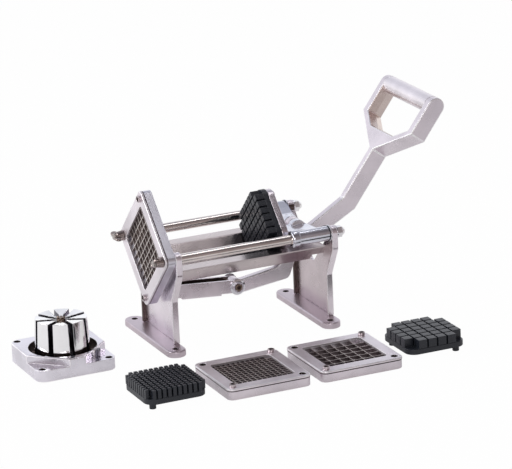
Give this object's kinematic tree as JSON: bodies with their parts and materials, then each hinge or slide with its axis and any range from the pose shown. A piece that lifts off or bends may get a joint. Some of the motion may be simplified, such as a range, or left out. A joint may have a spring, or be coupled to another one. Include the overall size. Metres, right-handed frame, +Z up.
{
  "type": "french fry cutter",
  "caption": "Cast metal french fry cutter: a lever and link slide a pin block along two rods through a diamond knife grid, with spare knife frames, pin blocks and a wedge cutter.",
  "frame": {"origin": "centre of the four foot bolt holes, at table level", "axes": "+X from the knives to the lever's handle, along the guide rods; +Y to the machine's far side, away from the spare parts; +Z up"},
  "size_m": [0.5445, 0.3239, 0.2648],
  "materials": {
    "cast_satin": "satin",
    "polished_rod": "polished",
    "bright_plate": "polished",
    "sheet_steel": "brushed",
    "knife_steel": "ground",
    "dark_plastic": "matte",
    "copper_screw": "dull"
  },
  "bodies": {
    "base": {"coarse_back_knives": "knife_steel", "coarse_block": "dark_plastic", "coarse_cover": "cast_satin", "coarse_cover_screws": "bright_plate", "coarse_frame": "cast_satin", "coarse_front_knives": "knife_steel", "dome_nuts": "bright_plate", "far_guide_rod": "polished_rod", "far_trough_rail": "sheet_steel", "fine_back_knives": "knife_steel", "fine_block": "dark_plastic", "fine_cover": "cast_satin", "fine_cover_screws": "bright_plate", "fine_frame": "cast_satin", "fine_front_knives": "knife_steel", "front_foot": "cast_satin", "front_stand": "cast_satin", "knife_back_knives": "knife_steel", "knife_cover": "cast_satin", "knife_cover_screws": "bright_plate", "knife_frame": "cast_satin", "knife_front_knives": "knife_steel", "link_bracket": "cast_satin", "link_pin": "bright_plate", "near_guide_rod": "polished_rod", "near_trough_rail": "sheet_steel", "rear_foot": "cast_satin", "rear_stand": "cast_satin", "rod_washers": "bright_plate", "wedge_frame": "cast_satin", "wedge_knives": "knife_steel", "wedge_pusher": "bright_plate", "wedge_screw": "copper_screw"},
    "carriage": {"carriage_yoke": "cast_satin", "pusher_plate": "cast_satin", "pusher_block": "dark_plastic", "block_screws": "bright_plate", "slide_bushings": "bright_plate", "bushing_rings": "bright_plate", "lever_pin": "bright_plate"},
    "lever": {"lever_bar": "cast_satin", "handle_loop": "cast_satin", "handle_grip": "cast_satin", "elbow_shank": "bright_plate"},
    "link": {"link_channel": "cast_satin", "elbow_bolt_head": "bright_plate", "elbow_nut": "bright_plate"},
    "near_wing_nut": {"near_wing_nut": "bright_plate"},
    "far_wing_nut": {"far_wing_nut": "bright_plate"}
  },
  "joints": [
    {"name": "carriage_slide", "type": "slide", "parent": "base", "child": "carriage", "axis": [-1, 0, 0], "range_m": [0, 0.136]},
    {"name": "lever_swing", "type": "hinge", "parent": "carriage", "child": "lever", "pos_m": [0.087, 0, 0.1135], "axis": [0, -1, 0], "range_deg": [0, 78.73]},
    {"name": "link_swing", "type": "hinge", "parent": "base", "child": "link", "pos_m": [-0.08, 0, 0.0594], "axis": [0, 1, 0], "range_deg": [0, 23.04]},
    {"name": "near_wing_nut_spin", "type": "hinge", "parent": "base", "child": "near_wing_nut", "pos_m": [-0.1123, -0.06223, 0.1175], "axis": [-1, 0, 0], "continuous": true},
    {"name": "far_wing_nut_spin", "type": "hinge", "parent": "base", "child": "far_wing_nut", "pos_m": [-0.1123, 0.06223, 0.1175], "axis": [-1, 0, 0], "continuous": true}
  ],
  "couplings": [
    {"joint": "lever_swing", "follows": "carriage_slide", "rad_per_m": 10.103},
    {"joint": "link_swing", "follows": "carriage_slide", "rad_per_m": 2.9565}
  ]
}
